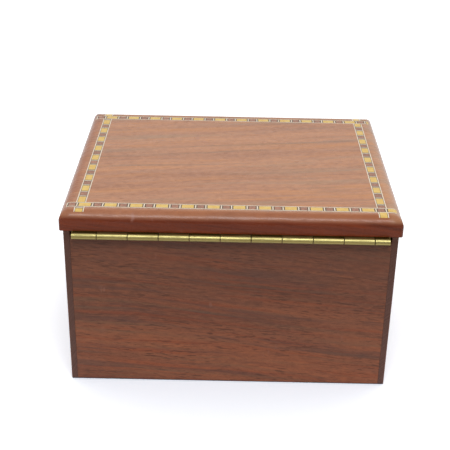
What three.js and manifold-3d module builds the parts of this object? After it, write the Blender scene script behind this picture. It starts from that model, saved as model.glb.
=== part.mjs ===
// Wooden puzzle box: rabbeted carcass, inlaid lid on a brass piano hinge, hidden spin lock.
// Millimetres. +X is to the right seen from the front, +Y points to the hinge side, +Z is up.
// Turning the lid group about its own X axis, by a negative angle, opens the lid.

import * as THREE from 'three';
import { mergeVertices } from 'three/addons/utils/BufferGeometryUtils.js';
import Module from 'manifold-3d';

const wasm = await Module();
wasm.setup();

// Fits
const glueLine = 0.05;            // between faces that are glued or seated
const runningGap = 0.3;           // between pieces that slide or turn on each other
const cutPast = 1;                // how far a cutting solid stands past what it cuts

// Carcass
const bodyWidth = 218;
const bodyDepth = 182;
const bodyHeight = 116;
const sideThickness = 9.5;
const wallThickness = 9.5;        // front and rear panels
const rabbetLip = 4.4;            // end grain that covers the ends of the front and rear panels
const bodyEdgeRound = 1.2;        // outer upright and lower edges
const bottomThickness = 6;
const bottomRise = 4;             // underside of the bottom panel above the table
const grooveDepth = 4;
const panelPlay = 0.3;            // room for the bottom panel to move in its grooves

// Lid
const lidThickness = 13.2;
const lidOverhang = 2.7;          // past the front and both sides; flush at the hinge side
const lidTopRound = 7.2;
const lidBottomEase = 0.5;
const lidCornerRound = 2.5;
const bandingWidth = 6.5;
const bandingThickness = 0.9;
const bandingInset = 9.8;         // from the lid's edges to the banding

// Piano hinge, cut from a longer length, so that its end knuckles are short
const barrelDiameter = 4.3;
const leafThickness = 0.95;
const leafInset = 0.5;            // free edge of a leaf short of the rear panel's inner face
const hingePinDiameter = 1.9;
const knucklePitch = 20;
const firstKnuckle = 16.5;
const shortestKnuckle = 3;
const knuckleGap = 0.3;
const hingeEndRoom = 1.25;        // between the hinge and each rabbet lip
const hingeScrewCount = 5;
const hingeScrewEndDistance = 23;
const hingeScrewInset = 4.9;      // from the rear face
const hingeScrewRadius = 1.1;
const hingeScrewHeadRadius = 2;
const hingeScrewCover = 3;        // wood left between a screw's point and the banding

// Spin lock: two loose pins in the lock block enter the notches of the tongue under the lid
const tongueWidth = 12;
const tongueDepth = 9;
const tongueNeck = 4;
const tongueHead = 2.8;           // thickness below the notches
const tongueLead = 0.8;           // chamfer round the foot of the tongue
const tenonCover = 6.3;           // wood left between the tongue's tenon and the banding
const lockPinDiameter = 4;
const lockPinLength = 20;
const lockPinDepth = 8;           // pin axis below the rim
const lockPinRest = 0.4;          // from a withdrawn pin to the slot
const notchRoom = 0.7;            // above and below a pin in its notch
const slotRoom = 1.2;             // lets the tongue swing clear on the hinge's arc
const slotFloorRoom = 1.5;
const slotWall = 2.3;
const blockDrop = 0.4;            // top of the block below the rim
const blockFloor = 5.4;           // wood below the slot
const plugLength = 14;
const blockScrewSpacing = 56;
const blockScrewRadius = 1.5;
const blockScrewHeadRadius = 2.9;
const blockScrewCover = 3.5;      // wood left in the front panel

// Facets
const roundSteps = 8;             // to a quarter round
const barrelSteps = 20;
const screwSteps = 16;

// Carcass places
const halfWidth = bodyWidth / 2;
const halfDepth = bodyDepth / 2;
const innerHalfWidth = halfWidth - sideThickness;
const innerHalfDepth = halfDepth - wallThickness;

// Lid places
const lidWidth = bodyWidth + 2 * lidOverhang;
const lidDepth = bodyDepth + lidOverhang;
const lidFrontY = -halfDepth - lidOverhang;
const lidUnderside = bodyHeight + glueLine;
const lidTop = lidUnderside + lidThickness;
const bandingFloor = lidTop - bandingThickness;

// Hinge places
const barrelRadius = barrelDiameter / 2;
const hingeAxis = new THREE.Vector3(0, halfDepth + barrelRadius, bodyHeight - barrelRadius);
const hingeLength = bodyWidth - 2 * (rabbetLip + hingeEndRoom);
const leafInnerFace = barrelRadius - leafThickness;
const rearPanelHeight = hingeAxis.z - barrelRadius - glueLine;
const hingeScrewY = halfDepth - hingeScrewInset;
const hingeScrewLength = bandingFloor - hingeScrewCover - (hingeAxis.z + leafInnerFace);

// Lock places
const notchHeight = lockPinDiameter + 2 * notchRoom;
const tongueDrop = lockPinDepth + notchHeight / 2 + tongueHead;
const slotHalfWidth = tongueWidth / 2 + slotRoom;
const slotHalfDepth = tongueDepth / 2 + slotRoom;
const slotFloor = bodyHeight - tongueDrop - slotFloorRoom;
const blockHalfDepth = slotHalfDepth + slotWall;
const blockY = -innerHalfDepth + glueLine + blockHalfDepth;
const lockPinZ = bodyHeight - lockPinDepth;
const lockPinStart = slotHalfWidth + lockPinRest;
const plugStart = lockPinStart + lockPinLength + runningGap;
const blockHalfLength = plugStart + plugLength;
const blockScrewZ = slotFloor - blockFloor / 2;
const blockScrewFaceY = blockY + blockHalfDepth;
const blockScrewLength = blockScrewFaceY + halfDepth - blockScrewCover;

// Solids: a closed three.js geometry becomes a manifold solid to be joined or cut, and comes back

function solid(geometry) {
  const bare = geometry.clone();
  bare.deleteAttribute('normal');
  bare.deleteAttribute('uv');
  const merged = mergeVertices(bare);
  return new wasm.Manifold(new wasm.Mesh({
    numProp: 3,
    vertProperties: new Float32Array(merged.attributes.position.array),
    triVerts: new Uint32Array(merged.index.array),
  }));
}

function toGeometry(body) {
  const { vertProperties, triVerts } = body.getMesh();
  const geometry = new THREE.BufferGeometry();
  geometry.setAttribute('position', new THREE.BufferAttribute(vertProperties, 3));
  geometry.setIndex(new THREE.BufferAttribute(triVerts, 1));
  geometry.computeVertexNormals();
  return geometry;
}

// A board between two opposite corners
function board(low, high) {
  const size = high.map((value, i) => value - low[i]);
  const centre = high.map((value, i) => (value + low[i]) / 2);
  return solid(new THREE.BoxGeometry(...size).translate(...centre));
}

// A moulding: a shape drawn in (Y, Z) and run along X, or drawn in (X, Z) and run along Y
function moulding(shape, length, axis) {
  const geometry = new THREE.ExtrudeGeometry(shape, { depth: length, bevelEnabled: false });
  geometry.translate(0, 0, -length / 2).rotateX(Math.PI / 2);
  return solid(axis === 'x' ? geometry.rotateZ(Math.PI / 2) : geometry);
}

// A round rod along X
function rod(radius, start, end, y, z) {
  const geometry = new THREE.CylinderGeometry(radius, radius, end - start, barrelSteps);
  return solid(geometry.rotateZ(Math.PI / 2).translate((start + end) / 2, y, z));
}

function mirrored(body, side) {
  return side === 'left' ? body.mirror([1, 0, 0]) : body;
}

// Points of a rounded corner, from quarterTurn quarters of a turn on; a bare corner where it isn't rounded
function corner(x, y, radius, quarterTurn) {
  const steps = radius > 0 ? roundSteps : 0;
  return Array.from({ length: steps + 1 }, (_, i) => {
    const angle = (quarterTurn + i / roundSteps) * Math.PI / 2;
    return new THREE.Vector2(x + radius * Math.cos(angle), y + radius * Math.sin(angle));
  });
}

// A rectangle centred over the origin, with its lower and upper corners rounded
function roundedRectangle(width, height, lowerRound, upperRound) {
  const half = width / 2;
  return new THREE.Shape([
    ...corner(half - lowerRound, lowerRound, lowerRound, 3),
    ...corner(half - upperRound, height - upperRound, upperRound, 0),
    ...corner(upperRound - half, height - upperRound, upperRound, 1),
    ...corner(lowerRound - half, lowerRound, lowerRound, 2),
  ]);
}

// A block on z = 0: upright edges rounded, then its lower and upper edges shaped from all four sides
function roundedBlock(width, depth, height, uprightRound, lowerRound, upperRound) {
  const plan = roundedRectangle(width, depth, uprightRound, uprightRound);
  const upright = new THREE.ExtrudeGeometry(plan, { depth: height, bevelEnabled: false });
  const endOn = roundedRectangle(width, height, lowerRound, upperRound);
  const sideOn = roundedRectangle(depth, height, lowerRound, upperRound);
  return solid(upright.translate(0, -depth / 2, 0))
    .intersect(moulding(endOn, depth + cutPast, 'y'))
    .intersect(moulding(sideOn, width + cutPast, 'x'));
}

// Carcass

function carcassBlank() {
  return roundedBlock(bodyWidth, bodyDepth, bodyHeight, bodyEdgeRound, bodyEdgeRound, 0);
}

function bottomGroove() {
  const reachX = innerHalfWidth + grooveDepth;
  const reachY = innerHalfDepth + grooveDepth;
  const low = bottomRise - glueLine;
  const high = bottomRise + bottomThickness + glueLine;
  return board([-reachX, -reachY, low], [reachX, reachY, high]);
}

function sidePanel(side) {
  const shoulderX = halfWidth - rabbetLip;
  const outside = halfDepth + cutPast;
  const full = board([innerHalfWidth, -halfDepth, 0], [halfWidth, halfDepth, bodyHeight]);
  const rabbet = (near, far) => board([0, near, -cutPast], [shoulderX, far, bodyHeight + cutPast]);
  const panel = carcassBlank()
    .intersect(full)
    .subtract(rabbet(-outside, -innerHalfDepth))
    .subtract(rabbet(innerHalfDepth, outside))
    .subtract(bottomGroove());
  return mirrored(panel, side);
}

// Front or rear panel, between the lips of the sides
function wallPanel(low, high, height) {
  const reachX = halfWidth - rabbetLip - glueLine;
  return carcassBlank()
    .intersect(board([-reachX, low, 0], [reachX, high, height]))
    .subtract(bottomGroove());
}

function bottomPanel() {
  const reachX = innerHalfWidth + grooveDepth - panelPlay;
  const reachY = innerHalfDepth + grooveDepth - panelPlay;
  return board([-reachX, -reachY, bottomRise], [reachX, reachY, bottomRise + bottomThickness]);
}

// Screws: a screw hangs from its head's face at the origin, and its hole is the same form with room

function screwGeometry(radius, headRadius, length) {
  const profile = [
    [0, -length],
    [radius, -length + radius],
    [radius, radius - headRadius],
    [headRadius, 0],
    [0, 0],
  ];
  return lathed(profile);
}

function screwHole(radius, headRadius, length) {
  const profile = [
    [0, -length - glueLine],
    [radius + glueLine, -length - glueLine],
    [radius + glueLine, radius - headRadius - glueLine],
    [headRadius + glueLine, -glueLine],
    [headRadius + glueLine, cutPast],
    [0, cutPast],
  ];
  return solid(lathed(profile));
}

function lathed(profile) {
  const points = profile.map(([radius, z]) => new THREE.Vector2(radius, z));
  return new THREE.LatheGeometry(points, screwSteps).rotateX(Math.PI / 2);
}

function cutHoles(body, hole, places) {
  return places.reduce((cut, place) => cut.subtract(hole.translate(place)), body);
}

// Lid

function lidBlank() {
  const topRound = Math.min(lidTopRound, lidThickness - lidBottomEase);
  return roundedBlock(lidWidth, lidDepth, lidThickness, lidCornerRound, lidBottomEase, topRound)
    .translate([0, lidFrontY + lidDepth / 2, lidUnderside]);
}

// The four lines of banding, each through the whole lid; room widens them to grooves
function bandingLines(room) {
  const near = bandingInset + bandingWidth + room;
  const far = bandingInset - room;
  const edge = lidWidth / 2;
  const low = bandingFloor - room;
  const high = lidTop + cutPast;
  const through = lidWidth + lidDepth;
  return {
    front: board([-through, lidFrontY + far, low], [through, lidFrontY + near, high]),
    rear: board([-through, halfDepth - near, low], [through, halfDepth - far, high]),
    left: board([far - edge, -through, low], [near - edge, through, high]),
    right: board([edge - near, -through, low], [edge - far, through, high]),
  };
}

function tongueMortise() {
  const reachX = tongueWidth / 2 + glueLine;
  const reachY = tongueDepth / 2 + glueLine;
  const top = bandingFloor - tenonCover + glueLine;
  return board([-reachX, blockY - reachY, lidUnderside - cutPast], [reachX, blockY + reachY, top]);
}

function lidPanel() {
  const grooves = Object.values(bandingLines(glueLine));
  return [tongueMortise(), ...grooves].reduce((panel, cut) => panel.subtract(cut), lidBlank());
}

// Front and rear lines run through; each side line lies between and past them, in three lengths
function bandingStrips() {
  const blank = lidBlank();
  const lines = bandingLines(0);
  const grooves = bandingLines(glueLine);
  const strips = [
    ['banding_front', lines.front.intersect(blank)],
    ['banding_rear', lines.rear.intersect(blank)],
  ];
  for (const side of ['left', 'right']) {
    const lengths = lines[side].intersect(blank).subtract(grooves.front).subtract(grooves.rear).decompose();
    lengths.sort((a, b) => a.boundingBox().min[1] - b.boundingBox().min[1]);
    ['front_stub', 'run', 'rear_stub'].forEach((place, i) => {
      strips.push([`banding_${side}_${place}`, lengths[i]]);
    });
  }
  return strips;
}

// Piano hinge, drawn about its pin axis

// A knuckle rolled from its leaf, in (Y, Z): the leaf leaves it at the top, towards -Y
function knuckleShape() {
  const rootY = -barrelRadius - 2 * runningGap;
  const seam = Math.PI - Math.asin(leafInnerFace / barrelRadius);
  const sweep = 2.5 * Math.PI - seam;
  const shape = new THREE.Shape();
  shape.moveTo(rootY, barrelRadius);
  for (let i = 0; i <= barrelSteps; i += 1) {
    const angle = Math.PI / 2 - (i / barrelSteps) * sweep;
    shape.lineTo(barrelRadius * Math.cos(angle), barrelRadius * Math.sin(angle));
  }
  shape.lineTo(rootY, leafInnerFace);
  const bore = new THREE.Path().absarc(0, 0, (hingePinDiameter + runningGap) / 2, 0, 2 * Math.PI);
  shape.holes.push(bore);
  return shape;
}

// Both ends of every knuckle, from the +X end of the hinge on
function knuckleSpans() {
  const last = -hingeLength / 2;
  const spans = [];
  let start = -last;
  let end = start - firstKnuckle;
  while (end > last + shortestKnuckle) {
    spans.push([end, start]);
    start = end;
    end = start - knucklePitch;
  }
  spans.push([last, start]);
  return spans;
}

// A leaf on top of the axis with every second knuckle, counted from the one named
function hingeLeaf(firstIndex) {
  const freeY = halfDepth - wallThickness + leafInset - hingeAxis.y;
  const notchY = -barrelRadius - runningGap;
  const end = hingeLength / 2;
  const plate = board([-end, freeY, leafInnerFace], [end, notchY, barrelRadius]);
  return knuckleSpans()
    .filter((span, i) => i % 2 === firstIndex)
    .reduce((leaf, [low, high]) => {
      const knuckle = moulding(knuckleShape(), high - low - knuckleGap, 'x');
      return leaf.add(knuckle.translate([(low + high) / 2, 0, 0]));
    }, plate);
}

function hingeScrewPlaces() {
  const first = hingeScrewEndDistance - hingeLength / 2;
  const step = -2 * first / (hingeScrewCount - 1);
  return Array.from({ length: hingeScrewCount }, (_, i) => first + i * step);
}

// Spin lock

function lockBlock() {
  const low = slotFloor - blockFloor;
  const blank = board(
    [-blockHalfLength, blockY - blockHalfDepth, low],
    [blockHalfLength, blockY + blockHalfDepth, bodyHeight - blockDrop],
  );
  const slot = board(
    [-slotHalfWidth, blockY - slotHalfDepth, slotFloor],
    [slotHalfWidth, blockY + slotHalfDepth, bodyHeight],
  );
  const reach = blockHalfLength + cutPast;
  const bore = rod(lockPinDiameter / 2 + runningGap, -reach, reach, blockY, lockPinZ);
  return blank.subtract(slot).subtract(bore);
}

// Seen from the front: a tenon, a pair of notches, and a head that the pins hold down
function tongueShape() {
  const half = tongueWidth / 2;
  const neck = tongueNeck / 2;
  const foot = bodyHeight - tongueDrop;
  const notchLow = lockPinZ - notchHeight / 2;
  const notchHigh = lockPinZ + notchHeight / 2;
  const rightSide = [
    [half - tongueLead, foot],
    [half, foot + tongueLead],
    [half, notchLow],
    [neck, notchLow],
    [neck, notchHigh],
    [half, notchHigh],
    [half, bandingFloor - tenonCover],
  ];
  const leftSide = rightSide.map(([x, z]) => [-x, z]).reverse();
  return new THREE.Shape([...rightSide, ...leftSide].map(([x, z]) => new THREE.Vector2(x, z)));
}

function lidTongue() {
  return moulding(tongueShape(), tongueDepth, 'y').translate([0, blockY, 0]);
}

// Assembly

const finishes = {
  walnut: { color: 0x744a38, roughness: 0.38, metalness: 0 },
  lidWalnut: { color: 0xb78b70, roughness: 0.32, metalness: 0 },
  banding: { color: 0xecc87c, roughness: 0.35, metalness: 0 },
  maple: { color: 0xd8b888, roughness: 0.5, metalness: 0 },
  brass: { color: 0xc9b56a, roughness: 0.25, metalness: 1 },
};

const puzzleBox = new THREE.Group();
puzzleBox.position.y = (lidOverhang - barrelDiameter) / 2;   // centres the footprint on the origin
const carcass = new THREE.Group();
const lid = new THREE.Group();
lid.position.copy(hingeAxis);
puzzleBox.add(carcass, lid);

function place(group, name, geometry, finish, position = [0, 0, 0]) {
  const mesh = new THREE.Mesh(geometry, new THREE.MeshStandardMaterial(finishes[finish]));
  mesh.name = name;
  mesh.position.set(...position).sub(group.position);
  group.add(mesh);
  return mesh;
}

const hingeScrewXs = hingeScrewPlaces();
const hingeHole = screwHole(hingeScrewRadius, hingeScrewHeadRadius, hingeScrewLength);
const raisedHingeHole = hingeHole.mirror([0, 0, 1]);
const lowerHeadZ = hingeAxis.z - leafInnerFace;
const upperHeadZ = hingeAxis.z + leafInnerFace;
const lowerPlaces = hingeScrewXs.map((x) => [x, hingeScrewY, lowerHeadZ]);
const upperPlaces = hingeScrewXs.map((x) => [x, hingeScrewY, upperHeadZ]);
const fromHingeAxis = ([x, y, z]) => [x, y - hingeAxis.y, z - hingeAxis.z];

const blockHole = screwHole(blockScrewRadius, blockScrewHeadRadius, blockScrewLength)
  .rotate([-90, 0, 0]);
const blockPlaces = [-1, 1].map((side) => [side * blockScrewSpacing / 2, blockScrewFaceY, blockScrewZ]);

const frontPanel = wallPanel(-halfDepth, -innerHalfDepth - glueLine, bodyHeight);
const rearPanel = wallPanel(innerHalfDepth + glueLine, halfDepth, rearPanelHeight);
place(carcass, 'front_panel', toGeometry(cutHoles(frontPanel, blockHole, blockPlaces)), 'walnut');
place(carcass, 'rear_panel', toGeometry(cutHoles(rearPanel, hingeHole, lowerPlaces)), 'walnut');
place(carcass, 'left_side', toGeometry(sidePanel('left')), 'walnut');
place(carcass, 'right_side', toGeometry(sidePanel('right')), 'walnut');
place(carcass, 'bottom_panel', toGeometry(bottomPanel()), 'walnut');

place(lid, 'lid_panel', toGeometry(cutHoles(lidPanel(), raisedHingeHole, upperPlaces)), 'lidWalnut');
for (const [name, strip] of bandingStrips()) {
  place(lid, name, toGeometry(strip), 'banding');
}

const boxLeaf = cutHoles(hingeLeaf(0).mirror([0, 0, 1]), hingeHole, lowerPlaces.map(fromHingeAxis));
const lidLeaf = cutHoles(hingeLeaf(1), raisedHingeHole, upperPlaces.map(fromHingeAxis));
place(carcass, 'hinge_box_leaf', toGeometry(boxLeaf), 'brass', hingeAxis.toArray());
place(lid, 'hinge_lid_leaf', toGeometry(lidLeaf), 'brass', hingeAxis.toArray());

const hingePin = new THREE.CylinderGeometry(hingePinDiameter / 2, hingePinDiameter / 2, hingeLength, barrelSteps);
place(carcass, 'hinge_pin', hingePin, 'brass', hingeAxis.toArray()).rotation.z = Math.PI / 2;

hingeScrewXs.forEach((x, i) => {
  const screw = screwGeometry(hingeScrewRadius, hingeScrewHeadRadius, hingeScrewLength);
  place(carcass, `hinge_box_screw_${i + 1}`, screw, 'brass', lowerPlaces[i]);
  place(lid, `hinge_lid_screw_${i + 1}`, screw, 'brass', upperPlaces[i]).rotation.x = Math.PI;
});

place(lid, 'lid_tongue', toGeometry(lidTongue()), 'maple');
place(carcass, 'lock_block', toGeometry(cutHoles(lockBlock(), blockHole, blockPlaces)), 'maple');
['left', 'right'].forEach((side, i) => {
  const pin = rod(lockPinDiameter / 2, lockPinStart, lockPinStart + lockPinLength, blockY, lockPinZ);
  const plugRadius = lockPinDiameter / 2 + runningGap - glueLine;
  const plug = rod(plugRadius, plugStart, blockHalfLength, blockY, lockPinZ);
  const screw = screwGeometry(blockScrewRadius, blockScrewHeadRadius, blockScrewLength);
  place(carcass, `lock_pin_${side}`, toGeometry(mirrored(pin, side)), 'brass');
  place(carcass, `lock_plug_${side}`, toGeometry(mirrored(plug, side)), 'maple');
  place(carcass, `lock_block_screw_${side}`, screw, 'brass', blockPlaces[i]).rotation.x = -Math.PI / 2;
});

export default puzzleBox;
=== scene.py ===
import functools
import math

import bmesh
import bpy
from mathutils import Euler, Matrix, Vector


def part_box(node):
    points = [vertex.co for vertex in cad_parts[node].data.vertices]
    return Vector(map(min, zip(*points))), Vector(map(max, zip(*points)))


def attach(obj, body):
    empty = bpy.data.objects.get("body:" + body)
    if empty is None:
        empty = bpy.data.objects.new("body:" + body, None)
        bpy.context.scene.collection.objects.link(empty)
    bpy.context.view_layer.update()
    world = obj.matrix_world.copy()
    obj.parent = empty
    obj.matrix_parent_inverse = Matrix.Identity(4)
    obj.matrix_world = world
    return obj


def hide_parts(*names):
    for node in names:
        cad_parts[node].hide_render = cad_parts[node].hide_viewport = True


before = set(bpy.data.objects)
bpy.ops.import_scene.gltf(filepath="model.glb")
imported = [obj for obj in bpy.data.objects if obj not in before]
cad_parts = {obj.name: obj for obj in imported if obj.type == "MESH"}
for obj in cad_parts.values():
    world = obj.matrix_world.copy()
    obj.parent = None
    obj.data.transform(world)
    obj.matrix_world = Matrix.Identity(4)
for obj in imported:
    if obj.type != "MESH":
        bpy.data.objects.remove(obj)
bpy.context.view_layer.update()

mm = 0.001
scene = bpy.context.scene
scene.view_settings.view_transform = "Standard"


# Node helpers: a named value goes to the node's own setting if it has one, else to an input socket

def feed(socket, value):
    if isinstance(value, bpy.types.NodeSocket):
        socket.id_data.links.new(value, socket)
    elif hasattr(socket.default_value, "__len__") and len(socket.default_value) == 4 and len(value) == 3:
        socket.default_value = (*value, 1)
    else:
        socket.default_value = value


def addNode(tree, kind, **given):
    node = tree.nodes.new(kind)
    settings = [name for name in given if hasattr(node, name)]
    for name in settings:  # first, because a setting can change which sockets there are
        setattr(node, name, given[name])
    for name, value in given.items():
        if name not in settings:
            feed(node.inputs[name.replace("_", " ")], value)
    return node


def treeOf(*values):
    # the tree of the first socket among the values
    return next(value.id_data for value in values if isinstance(value, bpy.types.NodeSocket))


def sums(operation, *values):
    node = addNode(treeOf(*values), "ShaderNodeMath", operation=operation)
    for socket, value in zip(node.inputs, values):
        feed(socket, value)
    return node.outputs[0]


plus, minus, times, over, least, most = (
    functools.partial(sums, operation)
    for operation in ("ADD", "SUBTRACT", "MULTIPLY", "DIVIDE", "MINIMUM", "MAXIMUM"))


def vectorSums(operation, *values, out=0):
    node = addNode(treeOf(*values), "ShaderNodeVectorMath", operation=operation)
    for socket, value in zip(node.inputs, values):
        feed(socket, value)
    return node.outputs[out]


def vector(tree, x=0.0, y=0.0, z=0.0):
    return addNode(tree, "ShaderNodeCombineXYZ", X=x, Y=y, Z=z).outputs[0]


def separated(value):
    return addNode(value.id_data, "ShaderNodeSeparateXYZ", Vector=value).outputs


def span(value, fromLow, fromHigh, toLow=0.0, toHigh=1.0, smooth=False):
    node = addNode(value.id_data, "ShaderNodeMapRange",
                   interpolation_type="SMOOTHSTEP" if smooth else "LINEAR")
    for socket, given in zip(node.inputs, (value, fromLow, fromHigh, toLow, toHigh)):
        feed(socket, given)
    return node.outputs[0]


def steps(value, stops):
    # a level that goes evenly from stop to stop, each (place from 0 to 1, level), the two ends first
    ramp = addNode(value.id_data, "ShaderNodeValToRGB", Fac=value)
    points = ramp.color_ramp.elements
    for number, (place, level) in enumerate(stops):
        point = points[number] if number < 2 else points.new(place)
        point.position, point.color = place, (level, level, level, 1)
    return ramp.outputs[0]


def mixed(share, first, second):
    node = addNode(share.id_data, "ShaderNodeMix", data_type="RGBA")
    colours = [socket for socket in node.inputs if socket.type == "RGBA"]
    for socket, value in zip((node.inputs[0], *colours), (share, first, second)):
        feed(socket, value)
    return next(socket for socket in node.outputs if socket.type == "RGBA")


def noise(at, scale, detail, roughness=0.5):
    return addNode(at.id_data, "ShaderNodeTexNoise", Vector=at, Scale=scale, Detail=detail,
                   Roughness=roughness).outputs[0]


def srgb(red, green, blue):
    # a colour read as 0 to 255 on screen, as the linear light that a shader takes
    def linear(level):
        level /= 255
        return level / 12.92 if level <= 0.04045 else ((level + 0.055) / 1.055) ** 2.4
    return tuple(linear(level) for level in (red, green, blue))


def newMaterial(name):
    material = bpy.data.materials.new(name)
    material.use_nodes = True
    tree = material.node_tree
    tree.nodes.clear()
    shader = tree.nodes.new("ShaderNodeBsdfPrincipled")
    output = tree.nodes.new("ShaderNodeOutputMaterial")
    tree.links.new(shader.outputs[0], output.inputs[0])
    return material, tree, shader


def setShader(shader, **values):
    for name, value in values.items():
        feed(shader.inputs[name.replace("_", " ")], value)


# Wood: noise drawn out along the board and bent round its growth rings

woodNoise = {
    # the same in every wood: noise cells per metre, along and across the grain where there are two
    "wander": (7, 16), "mottle": (55, 40), "fine": (300, 3600), "poreCrowd": (14, 60), "depth": 3.0,
    "endDots": 1500.0, "rub": (170, 170, 60), "rubPlaces": 26.0,
    "seedStep": (7.3, 3.1, 5.7),    # how far a seed of one moves the noise
    "reliefDepth": 0.12 * mm,
}


def boardCoordinates(place, look):
    # X runs along the grain; turned about the board's own face so that the figure slants
    return addNode(place.id_data, "ShaderNodeMapping", Vector=place, Location=look["shift"],
                   Rotation=[math.radians(angle) for angle in look["turn"]]).outputs[0]


def grainNoise(at, size, seed, detail=2.0):
    along, across = size
    stretched = vectorSums("MULTIPLY", at, (along, across, across))
    return noise(vectorSums("ADD", stretched, [seed * step for step in woodNoise["seedStep"]]), 1.0, detail)


def growthRings(at, look):
    # distance from a pith line that lies outside the board, so every face shows its own cut
    fromPith = vectorSums("MULTIPLY", vectorSums("SUBTRACT", at, look["pith"]), (0, 1, 1))
    wander = grainNoise(at, woodNoise["wander"], look["seed"])
    return plus(vectorSums("LENGTH", fromPith, out=1), times(wander, look["wander"]))


def figureNoises(at, ringSpot, look):
    tree, seed = at.id_data, look["seed"]
    parts = separated(at)

    def roundRings(name, detail, roughness, number):
        along, across = look[name + "Size"]
        spot = vector(tree, times(parts[0], along), times(ringSpot, across),
                      times(parts[2], woodNoise["depth"]))
        spot = vectorSums("ADD", spot, (seed + number, seed * 2.7, number * 5.1))
        return noise(spot, 1.0, detail, roughness)

    dash = grainNoise(at, look["poreSize"], seed + 4, detail=1.0)
    crowd = grainNoise(at, woodNoise["poreCrowd"], seed + 5)
    return {
        "band": roundRings("band", 2.0, 0.5, 1.0),
        "grain": roundRings("grain", 5.0, look["grainMix"], 2.0),
        "streak": roundRings("streak", 3.0, 0.6, 3.0),
        "fleck": roundRings("fleck", 2.0, 0.6, 4.0),
        "hue": roundRings("hue", 2.0, 0.6, 5.0),
        "mottle": grainNoise(at, woodNoise["mottle"], seed + 3),
        "fine": grainNoise(at, woodNoise["fine"], seed + 6),
        "pore": times(span(dash, *look["poreRange"], smooth=True), span(crowd, 0.36, 0.6, 0.2, 1.0)),
    }


def figureColour(figure, look):
    tone = span(figure["fine"], 0.3, 0.7, 0.33, 0.67)
    for name, low, high in (("band", 0.3, 0.7), ("grain", 0.25, 0.75), ("fleck", 0.3, 0.7)):
        tone = plus(tone, times(span(figure[name], low, high, -0.5, 0.5), look[name + "Share"]))
    colour = mixed(span(tone, 0.0, 0.5), look["deep"], look["middle"])
    layers = [
        (span(tone, 0.5, 1.0), "bright"),
        (times(span(figure["streak"], *look["streakRange"], smooth=True), look["streakShare"]), "streak"),
        (span(figure["hue"], 0.54, 0.68, 0.0, look["hueShare"]), "warm"),
        (span(figure["hue"], 0.32, 0.46, look["hueShare"], 0.0), "cool"),
        (span(figure["mottle"], 0.35, 0.7, 0.0, look["mottleShare"]), "bright"),
        (times(figure["pore"], look["poreShare"]), "pore"),
        (span(figure["fine"], 0.6, 0.7, 0.0, look["poreShare"]), "pore"),
    ]
    for share, name in layers:
        colour = mixed(share, colour, look[name])
    return colour


def endGrain(place, facing, ringSpot, look):
    # how far a face is end grain, and the darker colour it has there
    endOn = vectorSums("DOT_PRODUCT", facing, look["endAxis"], out=1)
    share = span(endOn, 0.5, 0.95, 0.0, look["endShare"], smooth=True)
    rings = noise(vector(place.id_data, times(ringSpot, look["endRings"]), look["seed"]), 1.0, 3.0, 0.6)
    dots = noise(place, woodNoise["endDots"], 1.0)
    colour = mixed(span(rings, 0.35, 0.65), look["endDeep"], look["endGrain"])
    return share, mixed(span(dots, 0.55, 0.68, 0.0, 0.6), colour, look["pore"])


def lidEdge(colour, spot, facing, grain, look):
    # painted shade as a deeper colour along the lid's +X side and rear margin, stronger towards -X at the
    # rear; painted light as a paler -X side; and a red-brown that starts on the rounded edge
    fromSide = span(spot[0], *look["rimSide"], smooth=True)
    fromRear = times(span(spot[1], *look["rimRear"], smooth=True), span(spot[0], *look["rimAlong"]))
    colour = mixed(times(most(fromSide, fromRear), look["rimShare"]), colour, look["rim"])
    pale = span(spot[0], *look["paleSide"], smooth=True)
    colour = mixed(times(pale, look["paleShare"]), colour, look["pale"])
    edge = times(span(spot[2], *look["edgeHeights"], 1.0, 0.0, smooth=True),
                 span(separated(facing)[2], 0.82, 0.97, 1.0, 0.0))
    edgeColour = mixed(span(grain, 0.3, 0.7), look["edgeDeep"], look["edge"])
    return mixed(times(edge, look["edgeShare"]), colour, edgeColour)


def shaded(colour, height, look):
    # painted shade, darkening the wood towards the hinge, and a thin dark line of painted shade at the foot,
    # where the box stands on the floor
    shade = times(steps(span(height, *look["shadeHeights"]), look["shadeSteps"]), look["shadeShare"])
    foot = span(height, *look["footHeights"], 0.0, 0.7, smooth=True)
    return mixed(most(shade, foot), colour, look["shade"])


def rubbed(colour, place, look):
    # a few dry rubbed marks
    marks = noise(vectorSums("MULTIPLY", place, woodNoise["rub"]), 1.0, 3.0, 0.6)
    places = noise(place, woodNoise["rubPlaces"], 1.0)
    share = times(span(marks, 0.6, 0.72, smooth=True), span(places, 0.6, 0.7, smooth=True))
    return mixed(times(share, look["rubShare"]), colour, look["rub"])


def woodSurface(shader, at, figure, endShare, look):
    tree, rough = at.id_data, look["rough"]
    rough = plus(span(figure["mottle"], 0.3, 0.7, rough - 0.03, rough + 0.05),
                 times(plus(figure["pore"], endShare), 0.15))
    relief = minus(times(figure["grain"], 0.6), times(figure["pore"], 0.8))
    wave = grainNoise(at, look["waveSize"], look["seed"] + 7)
    sanded = addNode(tree, "ShaderNodeBump", Height=wave, Strength=1.0, Distance=look["waveDepth"])
    bump = addNode(tree, "ShaderNodeBump", Height=relief, Strength=look["bump"],
                   Distance=woodNoise["reliefDepth"], Normal=sanded.outputs[0])
    setShader(shader, Roughness=rough, Normal=bump.outputs[0], Specular_IOR_Level=look["gloss"])


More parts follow.
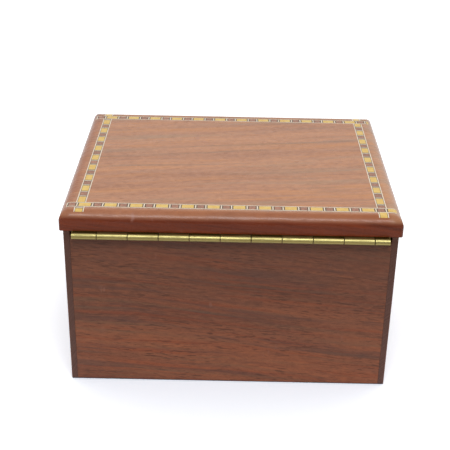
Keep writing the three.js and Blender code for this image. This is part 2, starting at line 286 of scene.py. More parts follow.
def wood(name, look):
    material, tree, shader = newMaterial(name)
    coordinates = addNode(tree, "ShaderNodeTexCoord").outputs
    place = coordinates["Object"]
    spot = separated(place)
    facing = vectorSums("ABSOLUTE", coordinates["Normal"])
    at = boardCoordinates(place, look)
    ringSpot = growthRings(at, look)
    figure = figureNoises(at, ringSpot, look)
    endShare, endColour = endGrain(place, facing, ringSpot, look)
    colour = mixed(endShare, figureColour(figure, look), endColour)
    if "edgeHeights" in look:
        colour = lidEdge(colour, spot, facing, figure["grain"], look)
        # hands have polished the rounded edge
        polish = steps(span(spot[2], *look["polishHeights"]), look["polishSteps"])
        setShader(shader, Coat_Weight=polish, Coat_Roughness=look["polishRough"])
    if "shadeHeights" in look:
        colour = shaded(colour, spot[2], look)
    setShader(shader, Base_Color=rubbed(colour, place, look))
    woodSurface(shader, at, figure, endShare, look)
    return material


lidLook = {
    "turn": (0, 0, -8), "shift": (0, 0, 0), "pith": (0, -0.30, -0.32), "seed": 3.0, "wander": 0.008,
    # cells per metre along and across the grain
    "bandSize": (3, 70), "grainSize": (9, 300), "streakSize": (6, 260), "fleckSize": (200, 620),
    "hueSize": (6, 200), "poreSize": (210, 900), "waveSize": (55, 120),
    "grainMix": 0.68, "streakRange": (0.56, 0.7), "poreRange": (0.56, 0.68),
    "bandShare": 0.25, "grainShare": 0.5, "fleckShare": 0.3, "streakShare": 0.45, "mottleShare": 0.12,
    "poreShare": 0.3, "hueShare": 0.4,
    "deep": srgb(150, 100, 74), "middle": srgb(186, 132, 101), "bright": srgb(211, 151, 109),
    "streak": srgb(138, 114, 94), "pore": srgb(122, 84, 66),
    "warm": srgb(215, 146, 88), "cool": srgb(160, 138, 114),
    "endAxis": (1, 0, 0), "endShare": 0.35, "endGrain": srgb(150, 92, 70), "endDeep": srgb(110, 66, 50),
    "endRings": 700.0,
    # places of the rim of painted shade, the side of painted light and the rounded edge, in metres
    "rimSide": (0.1015, 0.1065), "rimRear": (0.0805, 0.0855), "rimAlong": (0.08, -0.1, 1.0, 1.55),
    "rimShare": 0.48, "rim": srgb(152, 79, 38), "paleSide": (-0.1, -0.105), "paleShare": 0.2,
    "pale": srgb(216, 176, 134), "edgeHeights": (0.1242, 0.1273), "edgeShare": 0.97,
    "edge": srgb(138, 59, 27), "edgeDeep": srgb(92, 36, 18),
    "polishHeights": (0.1235, 0.1294), "polishSteps": ((0.0, 0.0), (1.0, 0.0), (0.2, 0.42), (0.75, 0.42)),
    "polishRough": 0.51,
    "rough": 0.25, "bump": 0.22, "gloss": 0.18, "waveDepth": 0.5 * mm, "rubShare": 0.5,
    "rub": srgb(178, 128, 112),
}
panelLook = {
    "turn": (0, 4.5, 0), "shift": (0.4, 0, 0.2), "pith": (0, -0.32, -0.25), "seed": 21.0, "wander": 0.012,
    "bandSize": (4, 75), "grainSize": (9, 240), "streakSize": (7, 200), "fleckSize": (170, 750),
    "hueSize": (8, 420), "poreSize": (130, 1100), "waveSize": (25, 80),
    "grainMix": 0.68, "streakRange": (0.5, 0.68), "poreRange": (0.55, 0.67),
    "bandShare": 0.48, "grainShare": 0.6, "fleckShare": 0.42, "streakShare": 0.6, "mottleShare": 0.1,
    "poreShare": 0.64, "hueShare": 0.45,
    "deep": srgb(118, 70, 51), "middle": srgb(160, 97, 69), "bright": srgb(188, 112, 75),
    "streak": srgb(100, 74, 66), "pore": srgb(78, 54, 46),
    "warm": srgb(172, 82, 48), "cool": srgb(136, 104, 78),
    "endAxis": (1, 0, 0), "endShare": 0.9, "endGrain": srgb(124, 84, 70), "endDeep": srgb(92, 64, 56),
    "endRings": 800.0,
    # painted shade under the hinge and a thin line of painted shade at the foot; the side pieces take it too
    "shadeHeights": (0.003, 0.112), "shadeSteps": ((0.0, 0.0), (1.0, 0.82), (0.9, 0.56), (0.97, 0.66)),
    "shadeShare": 1.0, "shade": srgb(75, 42, 25), "footHeights": (0.0016, 0.0004),
    "rough": 0.36, "bump": 0.28, "gloss": 0.25, "waveDepth": 0.2 * mm, "rubShare": 0.3,
    "rub": srgb(168, 122, 104),
}
sideLook = dict(panelLook, turn=(0, 3, 90), shift=(0.1, 0.3, 0.0), seed=12.0, pith=(0, -0.2, -0.3),
                endAxis=(0, 1, 0), endShare=0.92, endGrain=srgb(122, 87, 78), endDeep=srgb(92, 66, 58))
bottomLook = dict(panelLook, turn=(0, 0, 1), seed=15.0, shadeShare=0.0)
mapleLook = {
    "turn": (0, 0, 0), "shift": (0, 0, 0), "pith": (0, -0.2, -0.3), "seed": 20.0, "wander": 0.01,
    "bandSize": (6, 120), "grainSize": (20, 400), "streakSize": (20, 300), "fleckSize": (110, 420),
    "hueSize": (8, 300), "poreSize": (140, 900), "waveSize": (25, 80),
    "grainMix": 0.6, "streakRange": (0.55, 0.75), "poreRange": (0.6, 0.72),
    "bandShare": 0.5, "grainShare": 0.7, "fleckShare": 0.3, "streakShare": 0.35, "mottleShare": 0.2,
    "poreShare": 0.15, "hueShare": 0.2,
    "deep": srgb(196, 158, 112), "middle": srgb(214, 182, 138), "bright": srgb(228, 202, 162),
    "streak": srgb(186, 146, 104), "pore": srgb(170, 130, 92),
    "warm": srgb(224, 184, 130), "cool": srgb(200, 178, 142),
    "endAxis": (1, 0, 0), "endShare": 0.6, "endGrain": srgb(202, 164, 120), "endDeep": srgb(176, 136, 94),
    "endRings": 700.0,
    "rough": 0.45, "bump": 0.2, "gloss": 0.35, "waveDepth": 0.1 * mm, "rubShare": 0.3,
    "rub": srgb(190, 160, 122),
}
woods = {
    "lid": wood("lidWalnut", lidLook),
    "panel": wood("panelWalnut", panelLook),
    "side": wood("sideWalnut", sideLook),
    "bottom": wood("bottomWalnut", bottomLook),
    "maple": wood("maple", mapleLook),
}


# Brass: drawn along its length, tarnished in patches; the hinge also gets painted shade in bands round its
# barrel and in the joint behind it

def brass(name, look):
    material, tree, shader = newMaterial(name)
    place = addNode(tree, "ShaderNodeTexCoord").outputs["Object"]
    drawn = noise(vectorSums("MULTIPLY", place, look["drawnSize"]), 1.0, 2.0)
    tarnish = noise(place, look["tarnishSize"], 4.0, 0.65)
    share = span(tarnish, 0.42, 0.72, 0.0, look["tarnishShare"], smooth=True)
    if "paintedShadeHeights" in look:
        # painted shade and painted dark reflections: bands across the barrel's top and underside, with a dark
        # line below a band left bright, and painted shade on the plate's edge in the joint behind the barrel
        spot = separated(place)
        under = steps(span(spot[2], *look["paintedShadeHeights"]), look["paintedShadeSteps"])
        fromJoint = sums("ABSOLUTE", minus(spot[1], look["joint"]))
        behind = span(fromJoint, *look["jointReach"], 1.0, 0.0)
        share = most(share, most(under, behind))
    rough = plus(span(tarnish, 0.3, 0.7, look["rough"] - 0.05, look["rough"] + 0.08),
                 span(drawn, 0.3, 0.7, -0.03, 0.03))
    bump = addNode(tree, "ShaderNodeBump", Height=drawn, Strength=look["bump"], Distance=look["drawnDepth"])
    setShader(shader, Base_Color=mixed(share, look["bright"], look["tarnish"]), Roughness=rough,
              Normal=bump.outputs[0], Metallic=1.0)
    return material


drawnBrass = {"drawnSize": (60, 4000, 4000), "drawnDepth": 0.02 * mm, "tarnishSize": 90.0}
brassLooks = {
    "hinge": dict(drawnBrass, bright=srgb(198, 185, 121), tarnish=srgb(110, 92, 50), tarnishShare=0.35,
                  # the tarnish colour is also the painted shade on the plate's edge in the joint and in bands
                  # round the barrel
                  rough=0.47, bump=0.2, joint=0.0899, jointReach=(0.3 * mm, 0.6 * mm),
                  paintedShadeHeights=(0.112, 0.116),
                  paintedShadeSteps=((0.0, 0.6), (1.0, 0.55), (0.17, 0.55), (0.38, 0.68), (0.53, 0.95), (0.62, 0.3),
                              (0.68, 0.05), (0.88, 0.1))),
    "pin": dict(drawnBrass, bright=srgb(96, 82, 52), tarnish=srgb(52, 42, 30), tarnishShare=0.9,
                rough=0.5, bump=0.3),
    "screw": dict(drawnBrass, bright=srgb(205, 182, 108), tarnish=srgb(128, 104, 58), tarnishShare=0.6,
                  rough=0.3, bump=0.3),
}
brasses = {use: brass(use + "Brass", look) for use, look in brassLooks.items()}


# Banding woods, one small material each

veneerLook = {"driftSize": 70.0, "rough": 0.36, "reliefDepth": 0.05 * mm}


def veneer(name, colour, dark, fleckSize):
    material, tree, shader = newMaterial(name)
    place = addNode(tree, "ShaderNodeTexCoord").outputs["Object"]
    fleck = noise(vectorSums("MULTIPLY", place, fleckSize), 1.0, 3.0, 0.6)
    drift = noise(place, veneerLook["driftSize"], 1.0)
    tone = addNode(tree, "ShaderNodeAttribute", attribute_name="tone").outputs["Fac"]
    tint = mixed(span(fleck, 0.35, 0.7), colour, dark)
    tint = mixed(span(drift, 0.35, 0.65, 0.0, 0.3), tint, dark)
    tint = mixed(span(tone, 0.0, 1.0, 0.0, 0.35), tint, dark)
    rough = span(fleck, 0.3, 0.7, veneerLook["rough"] - 0.04, veneerLook["rough"] + 0.06)
    bump = addNode(tree, "ShaderNodeBump", Height=fleck, Strength=0.15, Distance=veneerLook["reliefDepth"])
    setShader(shader, Base_Color=tint, Roughness=rough, Normal=bump.outputs[0], Specular_IOR_Level=0.3)
    return material


veneers = {
    "yellow": veneer("satinwood", srgb(238, 207, 120), srgb(226, 182, 96), (300, 300, 900)),
    "red": veneer("dyedRed", srgb(196, 138, 108), srgb(146, 104, 86), (700, 700, 900)),
    "dark": veneer("dyedBlack", srgb(124, 98, 74), srgb(90, 70, 54), (900, 900, 900)),
    "white": veneer("holly", srgb(252, 238, 216), srgb(236, 214, 184), (600, 600, 900)),
}
print("materials made")


nodeFinish = {
    "front_panel": woods["panel"], "rear_panel": woods["panel"], "bottom_panel": woods["bottom"],
    "left_side": woods["side"], "right_side": woods["side"], "lid_panel": woods["lid"],
    "lid_tongue": woods["maple"], "lock_block": woods["maple"],
    "lock_plug_left": woods["maple"], "lock_plug_right": woods["maple"],
}


def finishFor(node):
    if node in nodeFinish:
        return nodeFinish[node]
    if node.startswith("banding"):
        return veneers["yellow"]
    return brasses["hinge"] if node.startswith("hinge_") and "screw" not in node else brasses["screw"]


for node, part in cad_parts.items():
    part.data.materials.clear()
    part.data.materials.append(finishFor(node))


# Wooden pieces: a copy of each, its loose triangles joined into flat faces and its sharp edges eased

def newObject(name, mesh):
    piece = bpy.data.objects.new(name, mesh)
    scene.collection.objects.link(piece)
    return piece


def asPiece(name, mesh, body, slot, *nodes):
    piece = newObject(name, mesh)
    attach(piece, body)
    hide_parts(*nodes)


def meshOf(shape, name):
    mesh = bpy.data.meshes.new(name)
    shape.to_mesh(mesh)
    shape.free()
    return mesh


def smoothed(mesh, sharpAngle):
    mesh.shade_smooth()
    mesh.set_sharp_from_angle(angle=math.radians(sharpAngle))
    return mesh


def evaluatedMesh(piece, name):
    # what the modifiers make of a piece, as a plain mesh
    graph = bpy.context.evaluated_depsgraph_get()
    mesh = bpy.data.meshes.new_from_object(piece.evaluated_get(graph), preserve_all_data_layers=True,
                                           depsgraph=graph)
    mesh.name = name
    bpy.data.objects.remove(piece)
    return mesh


easing = {
    "joinDistance": 0.002 * mm, "cutDistance": 0.001 * mm, "segments": 3,
    "flatAngle": 0.6, "cornerAngle": 40, "sharpAngle": 35,     # degrees
}
wall = ("case", "case_wood", 0.18 * mm, None)
woodenPieces = {
    # body, slot, width of the eased edges, and how far inside the edges to cut
    "lid_panel": ("lid", "lid_wood", 0.0, 7.6 * mm),
    "front_panel": wall, "rear_panel": wall, "left_side": wall, "right_side": wall,
    "bottom_panel": ("case", "case_wood", 0.3 * mm, None),
    "lid_tongue": ("lid", "lock_wood", 0.3 * mm, None),
    "lock_block": ("case", "lock_wood", 0.3 * mm, None),
}


def cutInside(shape, node, inset):
    # cut all round inside the edges, so that the shading of a corner stays at the corner
    low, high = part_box(node)
    for axis in (0, 1):
        for place in (low[axis] + inset, high[axis] - inset):
            point, normal = Vector((0, 0, 0)), Vector((0, 0, 0))
            point[axis], normal[axis] = place, 1
            cut = bmesh.ops.bisect_plane(shape, geom=shape.verts[:] + shape.edges[:] + shape.faces[:],
                                         dist=easing["cutDistance"], plane_co=point, plane_no=normal)
            for part in cut["geom_cut"]:
                if isinstance(part, bmesh.types.BMEdge):
                    part.seam = True


def joinedShape(node, inset):
    shape = bmesh.new()
    shape.from_mesh(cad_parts[node].data)
    bmesh.ops.remove_doubles(shape, verts=shape.verts, dist=easing["joinDistance"])
    if inset:
        cutInside(shape, node, inset)
    bmesh.ops.dissolve_limit(shape, angle_limit=math.radians(easing["flatAngle"]), verts=shape.verts,
                             edges=shape.edges, delimit={"SEAM"})
    return shape


def eased(node, name, width, inset):
    shape = joinedShape(node, inset)
    weights = shape.edges.layers.float.new("bevel_weight_edge")
    corner = math.radians(easing["cornerAngle"])
    for edge in shape.edges:
        if edge.is_manifold and edge.is_convex and edge.calc_face_angle() > corner:
            edge[weights] = 1
    piece = newObject(name, smoothed(meshOf(shape, name), easing["sharpAngle"]))
    if width > 0:
        ease = piece.modifiers.new("ease", "BEVEL")
        ease.limit_method = "WEIGHT"
        ease.width = width
        ease.segments = easing["segments"]
        ease.harden_normals = False
    level = piece.modifiers.new("level", "WEIGHTED_NORMAL")
    level.keep_sharp = True
    mesh = evaluatedMesh(piece, name)
    mesh.materials.clear()
    mesh.materials.append(nodeFinish[node])
    return mesh


for node, (body, slot, width, inset) in woodenPieces.items():
    name = node + ".eased"
    asPiece(name, eased(node, name, width, inset), body, slot, node)
print("wooden pieces made")


# Geometry Nodes: a tree with named inputs, run once and kept as a plain mesh

def newTree(name, **inputs):
    tree = bpy.data.node_groups.new(name, "GeometryNodeTree")
    kinds = {float: "NodeSocketFloat", int: "NodeSocketInt", tuple: "NodeSocketVector",
             bpy.types.Material: "NodeSocketMaterial"}
    tree.interface.new_socket("Geometry", in_out="INPUT", socket_type="NodeSocketGeometry")
    for label, value in inputs.items():
        socket = tree.interface.new_socket(label, in_out="INPUT", socket_type=kinds[type(value)])
        socket.default_value = value
    tree.interface.new_socket("Geometry", in_out="OUTPUT", socket_type="NodeSocketGeometry")
    return tree, tree.nodes.new("NodeGroupInput").outputs


def closeTree(tree, geometry):
    tree.links.new(geometry, tree.nodes.new("NodeGroupOutput").inputs[0])


def treePiece(name, tree, **values):
    # the values are set by each socket's identifier, before the piece is first evaluated
    piece = newObject(name, bpy.data.meshes.new(name))
    nodes = piece.modifiers.new(tree.name, "NODES")
    nodes.node_group = tree
    for item in tree.interface.items_tree:
        if item.in_out == "INPUT" and item.name in values:
            nodes[item.identifier] = values[item.name]
    return piece


def geometryNode(tree, kind, **given):
    return addNode(tree, "GeometryNode" + kind, **given).outputs[0]


def joined(tree, *parts):
    node = addNode(tree, "GeometryNodeJoinGeometry")
    for part in parts:
        tree.links.new(part, node.inputs[0])
    return node.outputs[0]


def pointPlace(tree):
    return separated(addNode(tree, "GeometryNodeInputPosition").outputs[0])


# Banding: one pitch of blocks and cross lines repeated along a strip between two stringings

banding = {
    # inputs that all strips share; the first three are shares of one pitch
    "shared": dict(Yellow=0.466, Red=0.257, Line=0.0461, Stringing=0.62 * mm, Border=0.32 * mm,
                   Seam=0.02 * mm, Thickness=0.9 * mm, LidRound=7.2 * mm),
    "cutLength": 1.2 * mm, "blockCuts": 7, "joinDistance": 0.001 * mm, "leastArea": 1e-12, "toneSeed": 5,
    # pitch, and the middle of one yellow block along the strip
    "strips": {
        "banding_rear": (16.83 * mm, 95.75 * mm),
        "banding_front": (17.14 * mm, 95.5 * mm),
        "banding_right_run": (17.61 * mm, 69.6 * mm),
        "banding_right_rear_stub": (17.61 * mm, 87.2 * mm),
        "banding_right_front_stub": (17.61 * mm, -88.9 * mm),
        "banding_left_run": (17.46 * mm, 63.7 * mm),
        "banding_left_rear_stub": (17.46 * mm, 83.6 * mm),
        "banding_left_front_stub": (17.46 * mm, -89.0 * mm),
    },
}
bandingWoods = ("YellowWood", "RedWood", "DarkWood", "WhiteWood")
yellow, red, dark, white = range(len(bandingWoods))


def strip(tree, given, kind, size, cuts, place=(0.0, 0.0)):
    # a flat bar of one wood, given its length and width, with cuts across it
    block = geometryNode(tree, "MeshCube", Size=vector(tree, *size, given["Thickness"]),
                         Vertices_X=cuts, Vertices_Y=2, Vertices_Z=2)
    marked = geometryNode(tree, "StoreNamedAttribute", data_type="INT", domain="FACE", Geometry=block,
                          Name="kind", Value=kind)
    return geometryNode(tree, "Transform", Geometry=marked, Translation=vector(tree, *place))


def bandingCells(tree, given, run):
    # each kind of cell on its own line of points, less those past the strip's ends
    start, end, pitch = given["Start"], given["End"], given["Pitch"]
    coreWidth = minus(given["Width"], times(plus(given["Stringing"], given["Border"]), 2.0))
    back = sums("CEIL", over(minus(given["Phase"], start), pitch))
    first = minus(given["Phase"], times(back, pitch))
    count = plus(sums("CEIL", over(run, pitch)), 2.0)
    along = pointPlace(tree)[0]
    cells, reach = [], times(given["Yellow"], -0.5)
    crossLines = [("Line", dark), ("Line", white), ("Line", dark)]
    for number, (share, kind) in enumerate([("Yellow", yellow), *crossLines, ("Red", red), *crossLines]):
        middle = plus(reach, times(given[share], 0.5))
        length = minus(times(given[share], pitch), given["Seam"])
        cell = strip(tree, given, kind, (length, coreWidth), 2 if share == "Line" else banding["blockCuts"])
        points = geometryNode(tree, "MeshLine", Count=count, Offset=vector(tree, pitch),
                              Start_Location=vector(tree, plus(first, times(middle, pitch))))
        half = times(length, 0.5)
        past = most(sums("LESS_THAN", plus(along, half), start),
                    sums("GREATER_THAN", minus(along, half), end))
        kept = geometryNode(tree, "DeleteGeometry", domain="POINT", Geometry=points, Selection=past)
        repeats = geometryNode(tree, "InstanceOnPoints", Points=kept, Instance=cell)
        tone = addNode(tree, "FunctionNodeRandomValue", data_type="FLOAT", Seed=banding["toneSeed"] + number)
        cells.append(geometryNode(tree, "StoreNamedAttribute", data_type="FLOAT", domain="INSTANCE",
                                  Geometry=repeats, Name="tone", Value=tone.outputs[1]))
        reach = plus(reach, given[share])
    return cells


def bandingLines(tree, given, run):
    # the white stringing and the dark border inside it, along both sides
    middle = times(plus(given["Start"], given["End"]), 0.5)
    cuts = plus(sums("CEIL", over(run, banding["cutLength"])), 3.0)
    lines = []
    for kind, width, inset in (
            (white, given["Stringing"], times(given["Stringing"], 0.5)),
            (dark, given["Border"], plus(given["Stringing"], times(given["Border"], 0.5)))):
        offset = minus(times(given["Width"], 0.5), inset)
        for side in (1.0, -1.0):
            lines.append(strip(tree, given, kind, (run, minus(width, given["Seam"])), cuts,
                               (middle, times(offset, side))))
    return lines


def settled(tree, given, strips):
    # hold the ends, and follow the lid's rounded edge down
    bend, thickness = given["LidRound"], given["Thickness"]
    at = pointPlace(tree)
    held = least(most(at[0], given["Start"]), given["End"])
    lowSide = minus(plus(given["EdgeLow"], bend), held)
    highSide = minus(held, minus(given["EdgeHigh"], bend))
    past = most(most(lowSide, highSide), 0.0)
    height = sums("SQRT", minus(times(bend, bend), times(past, past)))
    drop = least(minus(bend, height), thickness)
    isTop = sums("GREATER_THAN", at[2], 0.0)
    down = plus(times(drop, isTop), times(thickness, minus(1.0, isTop)))
    return geometryNode(tree, "SetPosition", Geometry=strips,
                        Position=vector(tree, held, at[1], minus(given["Top"], down)))


def bandingTree():
    tree, given = newTree(
        "bandingStrip", Start=0.0, End=1.0, Pitch=1.0, Phase=0.0, Width=1.0, Top=0.0, EdgeLow=0.0,
        EdgeHigh=1.0, Centre=(0.0, 0.0, 0.0), Turn=(0.0, 0.0, 0.0), YellowWood=veneers["yellow"],
        RedWood=veneers["red"], DarkWood=veneers["dark"], WhiteWood=veneers["white"], **banding["shared"])
    run = minus(given["End"], given["Start"])
    parts = joined(tree, *bandingCells(tree, given, run), *bandingLines(tree, given, run))
    made = settled(tree, given, geometryNode(tree, "RealizeInstances", Geometry=parts))
    area = addNode(tree, "GeometryNodeInputMeshFaceArea").outputs[0]
    made = geometryNode(tree, "DeleteGeometry", domain="FACE", Geometry=made,
                        Selection=sums("LESS_THAN", area, banding["leastArea"]))
    made = geometryNode(tree, "MergeByDistance", Geometry=made, Distance=banding["joinDistance"])
    made = geometryNode(tree, "Transform", Geometry=made, Translation=given["Centre"], Rotation=given["Turn"])
    made = geometryNode(tree, "RealizeInstances", Geometry=made)
    kindOf = addNode(tree, "GeometryNodeInputNamedAttribute", data_type="INT", Name="kind").outputs[0]
    for kind, label in enumerate(bandingWoods):
        made = geometryNode(tree, "SetMaterial", Geometry=made, Material=given[label],
                            Selection=sums("COMPARE", kindOf, float(kind), 0.5))
    closeTree(tree, made)
    return tree


def makeBanding():
    tree = bandingTree()
    lidLow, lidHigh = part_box("lid_panel")
    for node, (pitch, phase) in banding["strips"].items():
        low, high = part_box(node)
        axis = 0 if node in ("banding_rear", "banding_front") else 1
        across = 1 - axis
        centre = Vector((0, 0, 0))
        centre[across] = (low[across] + high[across]) / 2
        name = node + ".inlaid"
        piece = treePiece(
            name, tree, Start=low[axis], End=high[axis], Pitch=pitch, Phase=phase,
            Width=high[across] - low[across], Top=high[2], EdgeLow=lidLow[axis], EdgeHigh=lidHigh[axis],
            Centre=centre, Turn=(0.0, 0.0, axis * math.pi / 2))
        asPiece(name, evaluatedMesh(piece, name), "lid", "banding", node)


makeBanding()
print("banding made")


# Piano hinge: leaves with their knuckles rolled from them, countersunk for the screws

hinge = {
    # inputs that both leaves share
    "shared": dict(Thickness=0.95 * mm, Pitch=20 * mm, First=16.5 * mm, Gap=0.6 * mm, Clearance=0.3 * mm,
                   RollSteps=44, RollAngle=303.0, ScrewCount=5, HoleRadius=1.15 * mm, HeadRadius=2.05 * mm),
    "knuckles": 6, "screwEnd": 23 * mm, "screwInset": 4.9 * mm, "holeSteps": 32, "cutterProud": 0.1 * mm,
    "ease": 0.14 * mm, "easeSegments": 2, "easeAngle": 50, "sharpAngle": 40, "joinDistance": 0.004 * mm,
    # body, plate over (1) or under (-1) the pin, and how many pitches its first knuckle stands back
    "leaves": {"hinge_box_leaf": ("case", -1.0, 0), "hinge_lid_leaf": ("lid", 1.0, 1)},
}


def leafPlate(tree, given, rollRadius):
    notch = times(plus(given["BarrelRadius"], given["Clearance"]), -1.0)
    plate = geometryNode(tree, "MeshCube", Size=vector(
        tree, given["Length"], minus(notch, given["FreeEdge"]), given["Thickness"]))
    return notch, geometryNode(tree, "Transform", Geometry=plate, Translation=vector(
        tree, 0.0, times(plus(notch, given["FreeEdge"]), 0.5), times(given["Side"], rollRadius)))


def knuckle(tree, given, rollRadius, notch):
    # a sheet that follows a line: straight off the leaf, then round the pin
    index = addNode(tree, "GeometryNodeInputIndex").outputs[0]
    turn = over(minus(index, 1.0), minus(given["RollSteps"], 2.0))
    angle = minus(math.pi / 2, times(most(turn, 0.0), sums("RADIANS", given["RollAngle"])))
    root = times(minus(notch, given["Clearance"]), sums("LESS_THAN", index, 0.5))
    sheetLine = geometryNode(tree, "MeshLine", Count=given["RollSteps"])
    around = vector(tree, 0.0, plus(times(rollRadius, sums("COSINE", angle)), root),
                    times(times(given["Side"], rollRadius), sums("SINE", angle)))
    path = geometryNode(tree, "MeshToCurve", Mesh=geometryNode(
        tree, "SetPosition", Geometry=sheetLine, Position=around))
    section = geometryNode(tree, "CurvePrimitiveQuadrilateral", Height=given["Thickness"],
                           Width=minus(given["Pitch"], given["Gap"]))
    return geometryNode(tree, "CurveToMesh", Curve=path, Profile_Curve=section, Fill_Caps=True)


def barrel(tree, given, piece):
    # every second knuckle, the end ones cut off with the hinge
    end = times(given["Length"], 0.5)
    middle = minus(plus(minus(end, given["First"]), times(given["Pitch"], 0.5)),
                   times(given["Pitch"], given["Skip"]))
    row = geometryNode(tree, "MeshLine", Count=given["Knuckles"], Start_Location=vector(tree, middle),
                       Offset=vector(tree, times(given["Pitch"], -2.0)))
    knuckles = geometryNode(tree, "RealizeInstances", Geometry=geometryNode(
        tree, "InstanceOnPoints", Points=row, Instance=piece))
    at = pointPlace(tree)
    limit = minus(end, times(given["Gap"], 0.5))
    held = most(least(at[0], limit), times(limit, -1.0))
    return geometryNode(tree, "SetPosition", Geometry=knuckles, Position=vector(tree, held, at[1], at[2]))


def screwHoles(tree, given):
    proud = hinge["cutterProud"]
    narrow = most(minus(given["HeadRadius"], plus(given["Thickness"], proud)), given["HoleRadius"])
    cutter = geometryNode(tree, "MeshCone", Vertices=hinge["holeSteps"], Side_Segments=1, Fill_Segments=1,
                          Depth=plus(given["Thickness"], 2 * proud), Radius_Top=narrow,
                          Radius_Bottom=plus(given["HeadRadius"], proud))
    level = minus(minus(given["BarrelRadius"], given["Thickness"]), proud)
    places = geometryNode(
        tree, "MeshLine", Count=given["ScrewCount"], Offset=vector(tree, given["ScrewStep"]),
        Start_Location=vector(tree, given["ScrewFirst"], given["ScrewAcross"], times(given["Side"], level)))
    flip = minus(math.pi / 2, times(given["Side"], math.pi / 2))
    return geometryNode(tree, "RealizeInstances", Geometry=geometryNode(
        tree, "InstanceOnPoints", Points=places, Instance=cutter, Rotation=vector(tree, flip)))


def hingeTree():
    tree, given = newTree(
        "rolledLeaf", Length=1.0, Skip=0, Knuckles=6, BarrelRadius=1.0, FreeEdge=-1.0, Side=1.0,
        ScrewFirst=0.0, ScrewStep=1.0, ScrewAcross=0.0, Axis=(0.0, 0.0, 0.0), Brass=brasses["hinge"],
        **hinge["shared"])
    rollRadius = minus(given["BarrelRadius"], times(given["Thickness"], 0.5))
    notch, plate = leafPlate(tree, given, rollRadius)
    fused = addNode(tree, "GeometryNodeMeshBoolean", operation="UNION", solver="EXACT")
    for part in (barrel(tree, given, knuckle(tree, given, rollRadius, notch)), plate):
        tree.links.new(part, fused.inputs["Mesh 2"])
    bored = addNode(tree, "GeometryNodeMeshBoolean", operation="DIFFERENCE", solver="EXACT")
    tree.links.new(fused.outputs[0], bored.inputs["Mesh 1"])
    tree.links.new(screwHoles(tree, given), bored.inputs["Mesh 2"])
    placed = geometryNode(tree, "Transform", Geometry=bored.outputs[0], Translation=given["Axis"])
    whole = geometryNode(tree, "RealizeInstances", Geometry=placed)
    closeTree(tree, geometryNode(tree, "SetMaterial", Geometry=whole, Material=given["Brass"]))
    return tree


def closeSlivers(mesh):
    # slivers left by a boolean are closed up
    shape = bmesh.new()
    shape.from_mesh(mesh)
    bmesh.ops.remove_doubles(shape, verts=shape.verts, dist=hinge["joinDistance"])
    bmesh.ops.dissolve_degenerate(shape, edges=shape.edges, dist=hinge["joinDistance"])
    shape.to_mesh(mesh)
    shape.free()


def makeHinge():
    tree = hingeTree()
    pinLow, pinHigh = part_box("hinge_pin")
    axis = (pinLow + pinHigh) / 2
    length = pinHigh[0] - pinLow[0]
    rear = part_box("lid_panel")[1][1]
    screwFirst = hinge["screwEnd"] - length / 2
    for node, (body, side, skip) in hinge["leaves"].items():
        low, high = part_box(node)
        name = node + ".rolled"
        piece = treePiece(
            name, tree, Length=length, Skip=skip, Knuckles=hinge["knuckles"] - skip,
            BarrelRadius=(high[2] - low[2]) / 2, FreeEdge=low[1] - axis[1], Side=side, Axis=axis,
            ScrewFirst=screwFirst, ScrewStep=-2 * screwFirst / (hinge["shared"]["ScrewCount"] - 1),
            ScrewAcross=rear - hinge["screwInset"] - axis[1])
        ease = piece.modifiers.new("ease", "BEVEL")
        ease.width = hinge["ease"]
        ease.segments = hinge["easeSegments"]
        ease.limit_method = "ANGLE"
        ease.angle_limit = math.radians(hinge["easeAngle"])
        mesh = evaluatedMesh(piece, name)
        closeSlivers(mesh)
        asPiece(name, smoothed(mesh, hinge["sharpAngle"]), body, "hinge_brass", node)


makeHinge()
print("hinge made")


# Turned pieces: rings of points from one end to the other, closed at both ends

def turned(name, rings, ringSteps, axis, place, sharpAngle=35):
    # rings give (distance along, radius); a radius may be a function of the angle round the axis
    shape = bmesh.new()
    loops = []
    for along, radius in rings:
        loop = []
        for step in range(ringSteps):
            angle = 2 * math.pi * step / ringSteps
            reach = radius(angle, along) if callable(radius) else radius
            loop.append(shape.verts.new((reach * math.cos(angle), reach * math.sin(angle), along)))
        loops.append(loop)
    for lower, upper in zip(loops, loops[1:]):
        for step in range(ringSteps):
            after = (step + 1) % ringSteps
            shape.faces.new((lower[step], lower[after], upper[after], upper[step]))
    shape.faces.new(list(reversed(loops[0])))
    shape.faces.new(loops[-1])
    turn = Vector((0, 0, 1)).rotation_difference(Vector(axis)).to_matrix().to_4x4()
    shape.transform(Matrix.Translation(place) @ turn)
    bmesh.ops.recalc_face_normals(shape, faces=shape.faces)
    return smoothed(meshOf(shape, name), sharpAngle)


def roundedRod(length, radius, endRound, arcSteps=5):
    # half the length each way from the middle, its ends rounded over
    arc = [(endRound * (1 - math.cos(turn)), radius - endRound * (1 - math.sin(turn)))
           for turn in (math.pi / 2 * step / arcSteps for step in range(arcSteps + 1))]
    low = [(-length / 2 + along, reach) for along, reach in arc]
    return low + [(-along, reach) for along, reach in reversed(low)]


rodSteps = 32
lockPin = ("lock_metal", 1.0 * mm, brasses["screw"], "turned")
plug = ("case", "lock_wood", 0.5 * mm, woods["maple"], "dowel")
rods = {
    # body, slot, rounding of the ends, finish, and a word for the piece's name
    "hinge_pin": ("case", "hinge_brass", 0.35 * mm, brasses["pin"], "peened"),
    "lock_pin_left": ("left_pin", *lockPin), "lock_pin_right": ("right_pin", *lockPin),
    "lock_plug_left": plug, "lock_plug_right": plug,
}
for node, (body, slot, endRound, finish, word) in rods.items():
    low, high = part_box(node)
    size = high - low
    mesh = turned(f"{node}.{word}", roundedRod(size[0], size[2] / 2, endRound), rodSteps, (1, 0, 0),
                  (low + high) / 2)
    mesh.materials.append(finish)
    asPiece(mesh.name, mesh, body, slot, node)
print("rods and plugs made")


# Screws: one slotted screw, repeated along each row

